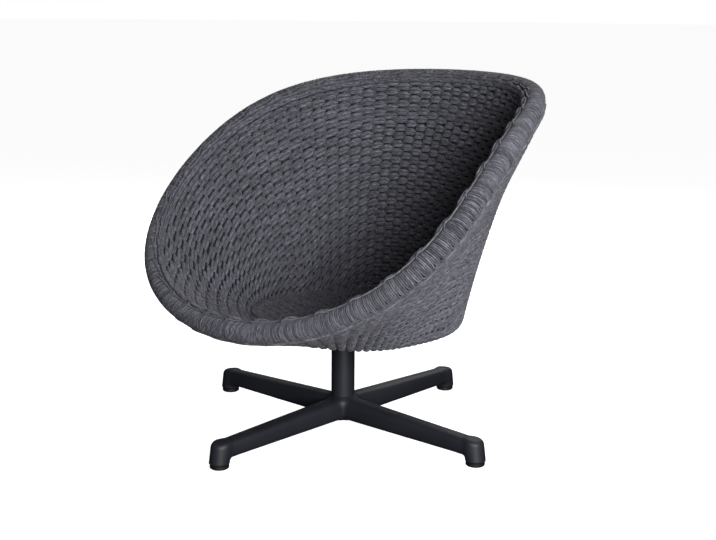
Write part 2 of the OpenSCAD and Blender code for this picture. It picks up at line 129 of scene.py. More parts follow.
def floor_reach(phi):
    """How far the seat floor's corner line lies from the middle, in each direction."""
    depth = np.where(np.cos(phi) > 0, FLOOR_FRONT, FLOOR_BACK)
    return ((np.abs(np.sin(phi)) / FLOOR_SIDE) ** FLOOR_POWER
            + (np.abs(np.cos(phi)) / depth) ** FLOOR_POWER) ** (-1 / FLOOR_POWER)


def bend_shares(u, weight=1.0):
    """Shares of the start, the corner and the end at u along a bend; more weight draws it to the corner."""
    return (1 - u) ** 2, 2 * u * (1 - u) * weight, u * u


def shell_tables():
    """Points and inward normals of the weave's middle surface, and each meridian's length to the floor."""
    p = rim_line(SHELL_T)
    phi = np.arctan2(p[:, 0], -p[:, 1])
    rim = np.stack([np.hypot(p[:, 0], p[:, 1]), p[:, 2]], -1)
    corner = np.stack([floor_reach(phi), np.full(TURNS, FLOOR_Z)], -1)
    chord = corner - rim
    inward = np.stack([chord[:, 1], -chord[:, 0]], -1)
    middle = (rim + corner) / 2 + blend_round(phi, BOW_SHARES)[:, None] * inward
    last = unit(corner - middle)
    angle = np.arccos(-last[:, 0])
    setback = blend_round(phi, BEND_RADII) * np.tan(angle / 2)
    weight = np.cos(angle / 2)[:, None, None]
    share = 1 - setback / (2 * np.linalg.norm(corner - middle, axis=1))

    u = np.linspace(0, 1, WALL_STEPS)[None, :, None] * share[:, None, None]
    one, two, three = bend_shares(u)
    wall = one * rim[:, None] + two * middle[:, None] + three * corner[:, None]
    end = corner - np.stack([setback, np.zeros(TURNS)], -1)
    one, two, three = bend_shares(np.linspace(0, 1, BEND_STEPS)[None, 1:, None], weight)
    bend = (one * wall[:, -1:] + two * corner[:, None] + three * end[:, None]) / (one + two + three)
    run_in = np.linspace(0, FLAT_REACH, FLAT_STEPS + 1)[1:]
    flat = end[:, None] - np.stack([run_in, np.zeros(FLAT_STEPS)], -1)[None]
    line = np.concatenate([wall, bend, flat], 1)
    steps = np.linalg.norm(np.diff(line, axis=1), axis=2)
    at = np.concatenate([np.zeros((TURNS, 1)), np.cumsum(steps, 1)], 1)
    length = at[:, wall.shape[1] + bend.shape[1] - 1] + LIP
    want = np.arange(0, REACH, STEP)
    rho = np.stack([np.interp(want, at[i], line[i, :, 0]) for i in range(TURNS)])
    z = np.stack([np.interp(want, at[i], line[i, :, 1]) for i in range(TURNS)])
    points = np.stack([rho * np.sin(phi)[:, None], -rho * np.cos(phi)[:, None], z], -1)
    down = np.gradient(points, axis=1)
    beside = np.roll(points, -1, 0) - np.roll(points, 1, 0)
    normals = unit(np.cross(beside, down))
    normals *= np.sign((normals * (np.array(FACED_POINT) - points)).sum(-1, keepdims=True))
    return points, normals, length


SHELL_P, SHELL_N, SHELL_L = shell_tables()


def look_up(table, t, d):
    """A table's value at t round the chair and d down from the rim, between its four nearest entries."""
    a = (t / TAU * TURNS) % TURNS
    b = np.clip(d / STEP, 0, table.shape[1] - SHORT_OF_END)
    i, j = np.floor(a).astype(int) % TURNS, np.floor(b).astype(int)
    fa, fb = (a - np.floor(a))[..., None], (b - j)[..., None]
    n = (i + 1) % TURNS
    return ((table[i, j] * (1 - fb) + table[i, j + 1] * fb) * (1 - fa)
            + (table[n, j] * (1 - fb) + table[n, j + 1] * fb) * fa)


def on_shell(t, d, off=0.0):
    """A point of the weave: t round the chair, d down from the rim, off towards the sitter."""
    return look_up(SHELL_P, t, d) + np.asarray(off)[..., None] * shell_normal(t, d)


def shell_normal(t, d):
    """Direction square to the weave, towards the sitter."""
    return unit(look_up(SHELL_N, t, d))


def wall_length(t):
    """Length of the wall from the rim to the edge of the seat floor."""
    return np.interp(t % TAU, np.arange(TURNS + 1) * TAU / TURNS, np.append(SHELL_L, SHELL_L[0]))


def half_weave(d, reach):
    """Half thickness of the weave, which swells towards the rim over the reach of that side."""
    near = 1 - np.clip(d / reach, 0, 1)
    return HALF_WALL + RIM_SWELL * near * near * (3 - 2 * near)


def two_sides(d):
    """Half thickness of the weave on the sitter's side, and on the outer side."""
    return half_weave(d, FADE_IN), half_weave(d, FADE_OUT)


# Ribs: the rib number grows with the rim's length, a little faster at the back than in front
RIBS = 80
RIB_SPREAD = 0.12
RIM_SAMPLES = 4001

# The rim's own directions: a small turn either way along it, and two places down the wall beside it
SMALL_TURN = 0.004
WALL_NEAR = 0.006
WALL_FAR = 0.030


def rib_places():
    """Turns round the chair, and the rib number reached at each of them."""
    t = np.linspace(0, TAU, RIM_SAMPLES)
    lengths = np.linalg.norm(np.diff(rim_line(t), axis=0), axis=1)
    middle = (t[1:] + t[:-1]) / 2
    count = np.concatenate([[0], np.cumsum(lengths / (1 + RIB_SPREAD * np.cos(middle)))])
    return t, count / count[-1] * RIBS


RIB_TURNS, RIB_NUMBERS = rib_places()


def turn_of_rib(c):
    """The turn round the chair at which rib c stands; parts of a rib lie between two."""
    return np.interp(c % RIBS, RIB_NUMBERS, RIB_TURNS)


def rim_frame(t):
    """Point, direction, and the two square directions: down the wall, and towards the sitter."""
    p = rim_line(t)
    ahead = unit(rim_line(t + SMALL_TURN) - rim_line(t - SMALL_TURN))
    near, far = np.full_like(t, WALL_NEAR), np.full_like(t, WALL_FAR)
    wall = unit(look_up(SHELL_P, t, far) - look_up(SHELL_P, t, near))
    down = unit(wall - (wall * ahead).sum(-1, keepdims=True) * ahead)
    inner = np.cross(ahead, down)
    inner *= np.sign((inner * shell_normal(t, far)).sum(-1, keepdims=True))
    return p, ahead, down, inner


# Meshes swept along lines, all from quads

ROPE_MAP = "along_rope"


class Sweep:
    """Collects tubes and gives one mesh with a map along and round each tube."""

    def __init__(self):
        self.points, self.quads, self.map, self.count = [], [], [], 0

    def tube(self, line, across, out, half_w, half_t, sides, closed=False, lane=0.0, power=1.0):
        """A tube along a line, half_w across it and half_t out of it; a lower power makes it fuller."""
        n = len(line)
        across, out = np.broadcast_to(across, line.shape), np.broadcast_to(out, line.shape)
        a = TAU * np.arange(sides) / sides
        ca, sa = np.cos(a), np.sin(a)
        ca, sa = np.sign(ca) * np.abs(ca) ** power, np.sign(sa) * np.abs(sa) ** power
        hw = np.broadcast_to(half_w, n)[:, None, None]
        ht = np.broadcast_to(half_t, n)[:, None, None]
        ring = (line[:, None] + hw * ca[None, :, None] * across[:, None]
                + ht * sa[None, :, None] * out[:, None])
        gaps = np.linalg.norm(np.roll(line, -1, 0) - line, axis=1)
        u = np.concatenate([[0], np.cumsum(gaps)])
        rows = np.arange(n if closed else n - 1)
        i, j = np.meshgrid(rows, np.arange(sides), indexing="ij")
        i, j = i.ravel(), j.ravel()
        i2, j2 = (i + 1) % n, (j + 1) % sides
        quads = np.stack([i * sides + j, i * sides + j2, i2 * sides + j2, i2 * sides + j], -1)
        v0, v1 = lane + j / sides, lane + (j + 1) / sides
        uv = np.stack([u[i], v0, u[i], v1, u[i + 1], v1, u[i + 1], v0], -1).reshape(-1, 4, 2)
        if not closed:
            k = np.arange(sides // 2 - 1)
            cap = np.stack([k, k + 1, sides - 2 - k, sides - 1 - k], -1)
            quads = np.concatenate([quads, cap[:, ::-1], cap + (n - 1) * sides])
            uv = np.concatenate([uv, np.full((2 * len(cap), 4, 2), lane)])
        self.points.append(ring.reshape(-1, 3))
        self.quads.append(quads + self.count)
        self.map.append(uv)
        self.count += n * sides

    def build(self, name, material):
        """One piece from all the tubes."""
        return mesh_piece(name, np.concatenate(self.points), np.concatenate(self.quads), material,
                          np.concatenate(self.map))


def mesh_piece(name, points, quads, material, uv=None):
    """A smooth object from points and quads."""
    mesh = bpy.data.meshes.new(name)
    mesh.vertices.add(len(points))
    mesh.vertices.foreach_set("co", np.ascontiguousarray(points, np.float32).ravel())
    mesh.loops.add(quads.size)
    mesh.loops.foreach_set("vertex_index", np.ascontiguousarray(quads, np.int32).ravel())
    mesh.polygons.add(len(quads))
    mesh.polygons.foreach_set("loop_start", np.arange(0, quads.size, quads.shape[1], dtype=np.int32))
    mesh.polygons.foreach_set("use_smooth", np.ones(len(quads), bool))
    if uv is not None:
        rope_map = mesh.uv_layers.new(name=ROPE_MAP)
        rope_map.data.foreach_set("uv", np.ascontiguousarray(uv, np.float32).ravel())
    mesh.update(calc_edges=True)
    mesh.materials.append(material)
    piece = bpy.data.objects.new(name, mesh)
    bpy.context.collection.objects.link(piece)
    return piece


# Finishes

# Places of a colour mix's sockets: its factor, its two colours and its result
MIX_FACTOR, MIX_ONE, MIX_TWO, MIX_RESULT = 0, 6, 7, 2


class Nodes:
    """Short calls for a material's node tree."""

    def __init__(self, name):
        self.material = bpy.data.materials.new(name)
        self.material.use_nodes = True
        self.tree = self.material.node_tree
        self.shader = self.tree.nodes["Principled BSDF"]

    def add(self, kind, inputs=None, **settings):
        """A node of a kind, with what its inputs take."""
        node = self.tree.nodes.new(kind)
        for key, value in settings.items():
            setattr(node, key, value)
        for key, value in (inputs or {}).items():
            self.put(value, node.inputs[key])
        return node

    def put(self, value, socket):
        """A link to a socket, or a value that it holds."""
        if isinstance(value, bpy.types.NodeSocket):
            self.tree.links.new(value, socket)
        else:
            socket.default_value = value

    def math(self, how, a, b=0.0, c=0.0):
        return self.add("ShaderNodeMath", {0: a, 1: b, 2: c}, operation=how).outputs[0]

    def noise(self, vector, scale, detail=2.0, rough=0.5):
        return self.add("ShaderNodeTexNoise", {
            "Vector": vector, "Scale": scale, "Detail": detail, "Roughness": rough,
        }).outputs["Fac"]

    def stretch(self, vector, factors):
        return self.add("ShaderNodeVectorMath", {0: vector, 1: factors}, operation="MULTIPLY").outputs[0]

    def spread(self, value, low, high):
        """A value from 0 to 1, laid out between two others."""
        return self.add("ShaderNodeMapRange", {"Value": value, "To Min": low, "To Max": high}).outputs[0]

    def on_object(self):
        """The place on the object, in metres."""
        return self.add("ShaderNodeTexCoord").outputs["Object"]

    def ramp(self, value, places, colours):
        """Colours at their places along a value."""
        node = self.add("ShaderNodeValToRGB", {"Fac": value})
        band = node.color_ramp
        while len(band.elements) < len(places):
            band.elements.new(0.5)
        for element, place, colour in zip(band.elements, places, colours):
            element.position = place
            element.color = (*colour, 1.0)
        return node.outputs["Color"]

    def multiply(self, one, two):
        """One colour multiplied by another."""
        return self.add("ShaderNodeMix", {MIX_FACTOR: 1.0, MIX_ONE: one, MIX_TWO: two},
                        data_type="RGBA", blend_type="MULTIPLY").outputs[MIX_RESULT]

    def bump(self, height, strength, distance):
        return self.add("ShaderNodeBump", {
            "Height": height, "Strength": strength, "Distance": distance,
        }).outputs["Normal"]

    def finish(self, **sockets):
        """The material, with the shader's sockets filled; an underscore stands for a space."""
        for key, value in sockets.items():
            self.put(value, self.shader.inputs[key.replace("_", " ")])
        return self.material


def shaded(colour, factor):
    """The same colour, lighter or darker."""
    return tuple(min(1.0, c * factor) for c in colour)


def greys(tones):
    """Greys of these tones."""
    return [(tone, tone, tone) for tone in tones]


# Rope's pattern: how often it changes in a metre along the rope and in one turn round it
YARN_GRAIN = (75.0, 11.0, 1.0)
FLECK_GRAIN = (230.0, 15.0, 1.0)
TONE_GRAIN = (9.0, 1.0, 1.0)

# Shares of yarn and fleck in that pattern, and where in it the dark and the light yarns lie
YARN_SHARE = 0.62
FLECK_SHARE = 0.38
YARN_PLACES = (0.38, 0.50, 0.62)
BETWEEN_SHARE = 0.45

# Slow change of tone along the rope
LOW_TONE, HIGH_TONE = 0.80, 1.14
TONE_PLACES = (0.36, 0.64)
TURN_TONE = 0.16

# Plaited sheath: radians in a metre along the rope, waves round it, and how far flecks stand out
BRAID_ALONG = 520.0
BRAID_ROUND = 2
FLECK_RELIEF = 1.6


def rope_finish(name, dark, light, turns=0.0):
    """Braided, heathered outdoor rope: light and dark yarns along it, under a plaited sheath."""
    n = Nodes(name)
    uv = n.add("ShaderNodeUVMap", uv_map=ROPE_MAP).outputs[0]
    yarn = n.noise(n.stretch(uv, YARN_GRAIN), scale=1.0, detail=1.0, rough=0.6)
    fleck = n.noise(n.stretch(uv, FLECK_GRAIN), scale=1.0, detail=2.0, rough=0.65)
    tone = n.noise(n.stretch(uv, TONE_GRAIN), scale=1.0, detail=1.0)
    heather = n.math("MULTIPLY_ADD", yarn, YARN_SHARE, n.math("MULTIPLY", fleck, FLECK_SHARE))
    between = tuple((a + b) * BETWEEN_SHARE for a, b in zip(dark, light))
    colour = n.ramp(heather, YARN_PLACES, (dark, between, light))
    tones = (LOW_TONE - TURN_TONE * turns, HIGH_TONE + TURN_TONE * turns)
    shade = n.ramp(tone, TONE_PLACES, greys(tones))
    split = n.add("ShaderNodeSeparateXYZ", {0: uv})
    along = n.math("MULTIPLY", split.outputs[0], BRAID_ALONG)
    round_it = n.math("MULTIPLY", split.outputs[1], TAU * BRAID_ROUND)
    one = n.math("SINE", n.math("ADD", along, round_it))
    two = n.math("SINE", n.math("SUBTRACT", along, round_it))
    braid = n.math("ADD", n.math("MAXIMUM", one, two), n.math("MULTIPLY", fleck, FLECK_RELIEF))
    return n.finish(
        Base_Color=n.multiply(colour, shade), Roughness=0.88, Sheen_Weight=0.12, Sheen_Roughness=0.5,
        Normal=n.bump(braid, strength=0.7, distance=0.0006),
    )


# The other finishes: how much lighter or darker their clouds are, where these lie, and their roughness
COAT_LIGHTER = 1.35
COAT_PLACES = (0.35, 0.65)
COAT_DULLER, COAT_GLOSSIER = 0.06, 0.05
STEEL_DARKER = 0.82
STEEL_ROUGHNESS = (0.26, 0.44)
STEEL_RINGS = (60.0, 60.0, 2600.0)
PLASTIC_DARKER = 0.85
CLOUD_PLACES = (0.3, 0.7)


def coat_finish(name, colour, rough):
    """Powder coat: a fine orange peel with small changes of gloss."""
    n = Nodes(name)
    where = n.on_object()
    peel = n.noise(where, scale=900.0, detail=2.0, rough=0.6)
    cloud = n.noise(where, scale=9.0)
    tone = n.ramp(cloud, COAT_PLACES, (colour, shaded(colour, COAT_LIGHTER)))
    gloss = n.spread(cloud, rough - COAT_GLOSSIER, rough + COAT_DULLER)
    return n.finish(Base_Color=tone, Roughness=gloss, Normal=n.bump(peel, strength=0.25, distance=0.0003))


def steel_finish(name, colour):
    """Zinc-plated turned steel with fine rings."""
    n = Nodes(name)
    where = n.on_object()
    rings = n.noise(n.stretch(where, STEEL_RINGS), scale=1.0)
    cloud = n.noise(where, scale=70.0, detail=3.0)
    tone = n.ramp(cloud, CLOUD_PLACES, (shaded(colour, STEEL_DARKER), colour))
    return n.finish(
        Base_Color=tone, Metallic=1.0, Roughness=n.spread(rings, *STEEL_ROUGHNESS),
        Normal=n.bump(rings, strength=0.2, distance=0.0002),
    )


def plastic_finish(name, colour, rough):
    """Moulded plastic with a fine spark-eroded grain."""
    n = Nodes(name)
    where = n.on_object()
    grain = n.noise(where, scale=1500.0)
    cloud = n.noise(where, scale=30.0)
    tone = n.ramp(cloud, CLOUD_PLACES, (shaded(colour, PLASTIC_DARKER), colour))
    return n.finish(Base_Color=tone, Roughness=rough, Normal=n.bump(grain, strength=0.3, distance=0.0002))


def finish_named(name, make, **values):
    """The finish of that name, made the first time that it is asked for."""
    return bpy.data.materials.get(name) or make(name, **values)


# Sizes and colours a user would change

class RopeSettings(bpy.types.PropertyGroup):
    """Sizes and colours of the rope"""
    width: bpy.props.FloatProperty(
        name="Rope width", description="Width of one soft rope where it lies over a rib at the back",
        default=0.0087, min=0.005, max=0.010, unit="LENGTH", precision=4)
    thickness: bpy.props.FloatProperty(
        name="Rope thickness", description="Thickness of one rope where it lies over a rib",
        default=0.0064, min=0.003, max=0.008, unit="LENGTH", precision=4)
    dip: bpy.props.FloatProperty(
        name="Dip near the rim", description="How far a row sinks behind its ribs where the weave is double",
        default=0.0110, min=0.002, max=0.014, unit="LENGTH", precision=4)
    dark: bpy.props.FloatVectorProperty(
        name="Dark yarn", description="Colour of the rope's dark yarns", subtype="COLOR",
        default=(0.044, 0.044, 0.055), min=0.0, max=1.0)
    light: bpy.props.FloatVectorProperty(
        name="Light yarn", description="Colour of the rope's light yarns", subtype="COLOR",
        default=(0.205, 0.206, 0.250), min=0.0, max=1.0)


class RimSettings(bpy.types.PropertyGroup):
    """Sizes of the two cords at the rim"""
    cord: bpy.props.FloatProperty(
        name="Wrapping cord", description="Width of the cord wound round the rim",
        default=0.0034, min=0.002, max=0.006, unit="LENGTH", precision=4)
    edge: bpy.props.FloatProperty(
        name="Lacing cord", description="Diameter of the lacing cord on the rim's inner shoulder",
        default=0.0035, min=0.002, max=0.006, unit="LENGTH", precision=4)
    edge_turn: bpy.props.FloatProperty(
        name="Lacing cord's place", description="Turn of the lacing cord from the wall towards the sitter",
        default=math.radians(105), min=0.0, max=math.pi, subtype="ANGLE")


class FootSettings(bpy.types.PropertyGroup):
    """The foot's powder coat"""
    coat: bpy.props.FloatVectorProperty(
        name="Coating", description="Colour of the foot's powder coat", subtype="COLOR",
        default=(0.0125, 0.0138, 0.0188), min=0.0, max=1.0)
    gloss: bpy.props.FloatProperty(
        name="Coating roughness", description="Roughness of the foot's powder coat",
        default=0.54, min=0.1, max=0.9, subtype="FACTOR")


class ChairSettings(bpy.types.PropertyGroup):
    """All that a user would change"""
    rope: bpy.props.PointerProperty(type=RopeSettings)
    rim: bpy.props.PointerProperty(type=RimSettings)
    foot: bpy.props.PointerProperty(type=FootSettings)


def settings():
    """The scene's sizes and colours for this chair."""
    return bpy.context.scene.lounge_chair


def rope_material(name="Rope", gain=1.0, turns=0.0):
    """The rope's finish, lighter by gain; turns sets how much one turn differs from the next."""
    rope = settings().rope
    dark, light = shaded(rope.dark, gain), shaded(rope.light, gain)
    return finish_named(name, rope_finish, dark=dark, light=light, turns=turns)


def coat_material():
    """The powder coat that the star foot and the column share."""
    foot = settings().foot
    return finish_named("Foot coating", coat_finish, colour=tuple(foot.coat), rough=foot.gloss)


# Weave, in metres and degrees: where its rows lie, and how a rope runs over one rib and behind the next

ROW_START = 0.0040
ROW_NEAR = 0.00984
ROW_FAR = 0.0131
ROWS = 59
DOUBLE_ROWS = 11
TIGHT_TURN = 25
WIDENING_TURN = 45
CELL_STEPS = 8
SWING_POWER = 0.65
WIDTH_POWER = 0.5
WIDENING = 0.85
CROSSING_COVER = 1.08
CROSSING_HALF = 0.0036
ROPE_SIDES = 8
ROPE_POWER = 0.8
ACROSS_STEP = 0.002

# Where a rope passes under the seat floor, counted from the floor's edge; a run of few points is left out
SINK_BEFORE = 0.006
SINK_OVER = 0.010
SINK_DEPTH = 0.003
ROPE_END = 0.012
SHORTEST_RUN = 6

# Where the weave is double and lies on the rim's roll
ROLL_R = RIM_WRAP_R + 0.0004
OUTER_ROLL_R = RIM_WRAP_R - 0.0012
ROLL_BULGE = 0.0032
ROLL_DIP = 0.0006
LEAST_DIP = 0.006
DIP_NARROWING = 0.38
NARROW_FROM = 0.012
NARROW_OVER = 0.014

# First place across the yarn pattern, so that no two ropes look alike
FACE_LANES = 500
FLOOR_LANES = 300.0


def row_height(t):
    """Height of one row: tight at the back, wider from the sides to the front."""
    away = np.abs((np.degrees(t) % 360) - 180)
    return ROW_NEAR + (ROW_FAR - ROW_NEAR) * ease((away - TIGHT_TURN) / WIDENING_TURN)


def row_shape(k, rope):
    """Direction, depth, swing and half sizes of one row: over one rib and behind the next."""
    c = np.arange(RIBS * CELL_STEPS) / CELL_STEPS
    t = turn_of_rib(c)
    h = row_height(t)
    s = np.cos(math.pi * c) * (-1) ** k
    w = np.abs(s) ** WIDTH_POWER
    lift = np.sign(s) * np.abs(s) ** SWING_POWER
    wide = rope.width / 2 * (1 + WIDENING * (h / ROW_NEAR - 1))
    half_w = CROSSING_COVER * h / 4 * (1 - w) + wide * w
    half_t = CROSSING_HALF * (1 - w) + rope.thickness / 2 * w
    return t, ROW_START + (k + 0.5) * h, lift, half_w, half_t


def runs(keep):
    """Index runs where keep holds, round the closed line; a full turn comes back closed."""
    n = len(keep)
    if keep.all():
        return [(np.arange(n), True)]
    if not keep.any():
        return []
    starts = [i for i in range(n) if keep[i] and not keep[i - 1]]
    found = []
    for a in starts:
        b = a
        while keep[(b + 1) % n]:
            b += 1
        if b - a > SHORTEST_RUN:
            found.append((np.arange(a, b + 1) % n, False))
    return found


def lay_rope(sweep, t, d, off, half_w, half_t, lane):
    """One rope along the shell, cut where it passes under the edge of the seat floor."""
    past = d - wall_length(t)
    off = off - ease((past + SINK_BEFORE) / SINK_OVER) * (off + SINK_DEPTH)
    for part, closed in runs(past < ROPE_END):
        line = on_shell(t[part], d[part], off[part])
        out = shell_normal(t[part], d[part])
        across = unit(on_shell(t[part], d[part] + ACROSS_STEP) - on_shell(t[part], d[part] - ACROSS_STEP))
        sweep.tube(line, across, out, half_w[part], half_t[part], ROPE_SIDES, closed, lane, ROPE_POWER)


def layer(d):
    """Thickness of one of the two layers of weave near the rim."""
    return sum(two_sides(d)) / 2


def double_row(inner, outer, k, rope):
    """A row near the rim, where the weave covers both sides of the frame."""
    t, d, lift, half_w, half_t = row_shape(k, rope)
    for sweep, face, reach in ((inner, 1, FADE_IN), (outer, -1, FADE_OUT)):
        behind = (1 - face * lift) / 2
        tight = half_w * (1 - DIP_NARROWING * behind * (1 - ease((d - NARROW_FROM) / NARROW_OVER)))
        bed = ROLL_R if face > 0 else OUTER_ROLL_R
        for side in (-1, 1):
            dd = d + side * tight
            roll = np.sqrt(np.maximum((bed + half_t) ** 2 - dd * dd, 0))
            if face > 0:
                roll = roll + ROLL_BULGE * (1 - behind) - ROLL_DIP * behind
            dip = np.clip(layer(dd) - 2 * half_t, LEAST_DIP, rope.dip)
            deep = half_weave(dd, reach) - half_t - dip * behind
            lane = 2.0 * k + side + 1 + FACE_LANES * face
            lay_rope(sweep, t, dd, face * np.maximum(deep, roll), tight, half_t, lane)


def single_row(sweep, k, rope):
    """A row of the thinner wall, passing from one side of the ribs to the other."""
    t, d, lift, half_w, half_t = row_shape(k, rope)
    for side in (-1, 1):
        dd = d + side * half_w
        inside, outside = (half - half_t for half in two_sides(dd))
        off = (inside - outside) / 2 + (inside + outside) / 2 * lift
        lay_rope(sweep, t, dd, off, half_w, half_t, 2.0 * k + side + 1)


def rope_piece(sweep, name, material, *replaced, slot="rope"):
    """One piece of the shell, which turns with the seat and stands for the CAD nodes it replaces."""
    piece = sweep.build(name, material)
    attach(piece, "seat")
    if replaced:
        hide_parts(*replaced)


# The wall's pieces, each with its first row from the rim down, and the row after its last
DOUBLE_PARTS = ((0, 5), (5, DOUBLE_ROWS))
WALL_PARTS = (
    ("wall_rope_middle", DOUBLE_ROWS, 19), ("wall_rope_lower", 19, 29),
    ("wall_rope_back_1", 29, 39), ("wall_rope_back_2", 39, ROWS),
)


class CHAIR_OT_wall(bpy.types.Operator):
    """Weaves the wall of the shell from paired ropes"""
    bl_idname = "chair.wall"
    bl_label = "Weave the wall"

    def execute(self, context):
        rope = settings().rope
        material = rope_material()
        for number, (first, last) in enumerate(DOUBLE_PARTS, 1):
            inner, outer = Sweep(), Sweep()
            for k in range(first, last):
                double_row(inner, outer, k, rope)
            replaced = ["woven_wall"] if number == 1 else []
            rope_piece(inner, f"wall_rope_inner_{number}", material, *replaced)
            rope_piece(outer, f"wall_rope_outer_{number}", material)
        for name, first, last in WALL_PARTS:
            sweep = Sweep()
            for k in range(first, last):
                single_row(sweep, k, rope)
            rope_piece(sweep, name, material)
        return {"FINISHED"}


# Seat floor, in metres: its ropes lie across it, flat over the floor ring and down past its edge

TO_THE_LEFT = (1.0, 0.0, 0.0)
FRONT_TO_BACK = (0.0, 1.0, 0.0)
UP = (0.0, 0.0, 1.0)
FLOOR_PITCH = 0.0098
FLOOR_STEP = 0.0046
FLOOR_ROPE_Z = 0.2505
FLOOR_ROPE_HALF = 0.0026
FLOOR_SWING = 0.0032
FLOOR_SWING_POWER = 0.6
FLOOR_COVER = 0.98
FRONT_MARGIN = 0.005
BACK_MARGIN = 0.003
PAST_EDGE = 0.004
OVER_RING = 0.0034
RING_INSET = 0.017
RING_FADE = 0.009
TUCK_PAST = 0.005
TUCK_OVER = 0.008
TUCK_DEPTH = 0.008
RIB_SPACING = 0.0365


def floor_edge():
    """Outline of the seat floor, seen from above."""
    return on_shell(SHELL_T, SHELL_L)[:, :2]


def left_side(edge):
    """The outline on the sitter's left, from the front to the back."""
    left = edge[edge[:, 0] > 0]
    return left[np.argsort(left[:, 1])]


def floor_rope(sweep, k, y, side, width, edge):
    """One rope across the seat floor: over one rib and under the next."""
    left = left_side(edge)
    quarter = FLOOR_COVER * FLOOR_PITCH / 4
    yy = y + side * quarter
    lip = np.interp(yy, left[:, 1], left[:, 0])
    reach = lip + PAST_EDGE
    x = np.linspace(-reach, reach, 2 * int(reach / FLOOR_STEP) + 1)
    s = np.cos(math.pi * x / RIB_SPACING) * (-1) ** k
    w = np.abs(s) ** FLOOR_SWING_POWER
    place = np.stack([x, np.full_like(x, yy)], -1)
    gap = np.sqrt(((place[:, None] - edge[None]) ** 2).sum(-1)).min(1)
    gap *= np.where(np.abs(x) > lip, -1, 1)
    over = 1 - ease((gap - RING_INSET) / RING_FADE)
    tuck = 1 - ease((gap + TUCK_PAST) / TUCK_OVER)
    z = FLOOR_ROPE_Z + FLOOR_SWING * np.sign(s) * w * (1 - over) + OVER_RING * over - TUCK_DEPTH * tuck
    crossing = CROSSING_COVER * FLOOR_PITCH / 4
    half_w = crossing * (1 - w) + width / 2 * w * (1 - over) + crossing * w * over
    line = np.stack([x, yy + side * (half_w - quarter), z], -1)
    sweep.tube(line, FRONT_TO_BACK, UP, half_w, FLOOR_ROPE_HALF,
               ROPE_SIDES, False, FLOOR_LANES + 2 * k + side, ROPE_POWER)


class CHAIR_OT_floor(bpy.types.Operator):
    """Weaves the seat floor from ropes laid across it, over the floor ring and down beside it"""
    bl_idname = "chair.floor"
    bl_label = "Weave the seat floor"

    def execute(self, context):
        width = settings().rope.width
        edge = floor_edge()
        left = left_side(edge)
        first, last = left[0, 1] + FRONT_MARGIN, left[-1, 1] - BACK_MARGIN
        sweep = Sweep()
        for k, y in enumerate(np.linspace(first, last, round((last - first) / FLOOR_PITCH) + 1)):
            for side in (-1, 1):
                floor_rope(sweep, k, y, side, width, edge)
        rope_piece(sweep, "floor_rope", rope_material(), "woven_floor")
        return {"FINISHED"}


# Ribs, in metres: single in the wall, double near the rim, and straight under the seat floor

RIB_HALF_T = 0.0024
RIB_TOP = 0.020
RIB_LAP = 0.004
RIB_PAST_EDGE = 0.012
LOW_RIB_STEPS = 38
HIGH_RIB_STEPS = 14

# Half width of a rib: a share of its room, with a least value that flares low down, then closed to the next;
# where the ribs meet beside the seat floor they form a dark sheet, painted shade standing for the shade seen
# through the weave's gaps there
RIB_SHARE = 0.36
RIB_HALF_W = 0.0056
RIB_FLARE = 0.0028
FLARE_BEFORE = 0.075
FLARE_OVER = 0.050
CLOSED_SHARE = 0.53
CLOSED_BEFORE = 0.055
CLOSED_OVER = 0.020

# Ribs under the seat floor
FLOOR_RIBS_A_SIDE = 5
FLOOR_RIB_CLEAR = 0.012
FLOOR_RIB_END = 0.006
FLOOR_RIB_STEPS = 30
FLOOR_RIB_HALF_W = 0.0042
FLOOR_RIB_HALF_T = 0.0013
FLOOR_RIB_SIDES = 6


def rib_half_width(i, t, d):
    """Half width of rib i: a share of its room, growing until the ribs meet beside the seat floor, where the
    closed ribs are a dark sheet of painted shade.
    """
    before, after = turn_of_rib(np.array([i - 0.5])), turn_of_rib(np.array([i + 0.5]))
    room = np.linalg.norm(on_shell(before + 0 * d, d) - on_shell(after + 0 * d, d), axis=1)
    left_over = wall_length(t) - d
    flare = RIB_FLARE * ease((FLARE_BEFORE - left_over) / FLARE_OVER)
    half_w = np.maximum(RIB_SHARE * room, RIB_HALF_W + flare)
    # closed ribs beside the seat floor: a dark sheet, painted shade in the weave's gaps
    return half_w + (CLOSED_SHARE * room - half_w) * ease((CLOSED_BEFORE - left_over) / CLOSED_OVER)


def wall_rib(sweep, i):
    """One rib down the wall, with one stretch in each of the two layers near the rim."""
    turn = turn_of_rib(np.array([float(i)]))
    split = ROW_START + DOUBLE_ROWS * row_height(turn)[0]
    low = np.linspace(split - RIB_LAP, wall_length(turn)[0] + RIB_PAST_EDGE, LOW_RIB_STEPS)
    high = np.linspace(RIB_TOP, split + RIB_LAP, HIGH_RIB_STEPS)
    inside, outside = two_sides(low)
    upper_inside, upper_outside = two_sides(high)
    half = layer(high) / 2
    for d, off in (
            (low, (inside - outside) / 2),
            (high, upper_inside - half),
            (high, half - upper_outside)):
        t = np.full_like(d, turn[0])
        line = on_shell(t, d, off)
        out = shell_normal(t, d)
        ahead = unit(np.gradient(line, axis=0))
        sweep.tube(line, np.cross(ahead, out), out, rib_half_width(i, t, d), RIB_HALF_T,
                   ROPE_SIDES, power=ROPE_POWER)


def floor_rib(sweep, x, left):
    """One straight rib under the seat floor's ropes, from the front to the back."""
    inside = left[left[:, 0] > abs(x) + FLOOR_RIB_CLEAR][:, 1]
    y = np.linspace(inside[0] + FLOOR_RIB_END, inside[-1] - FLOOR_RIB_END, FLOOR_RIB_STEPS)
    line = np.stack([np.full_like(y, x), y, np.full_like(y, FLOOR_ROPE_Z)], -1)
    sweep.tube(line, TO_THE_LEFT, UP, FLOOR_RIB_HALF_W, FLOOR_RIB_HALF_T, FLOOR_RIB_SIDES)


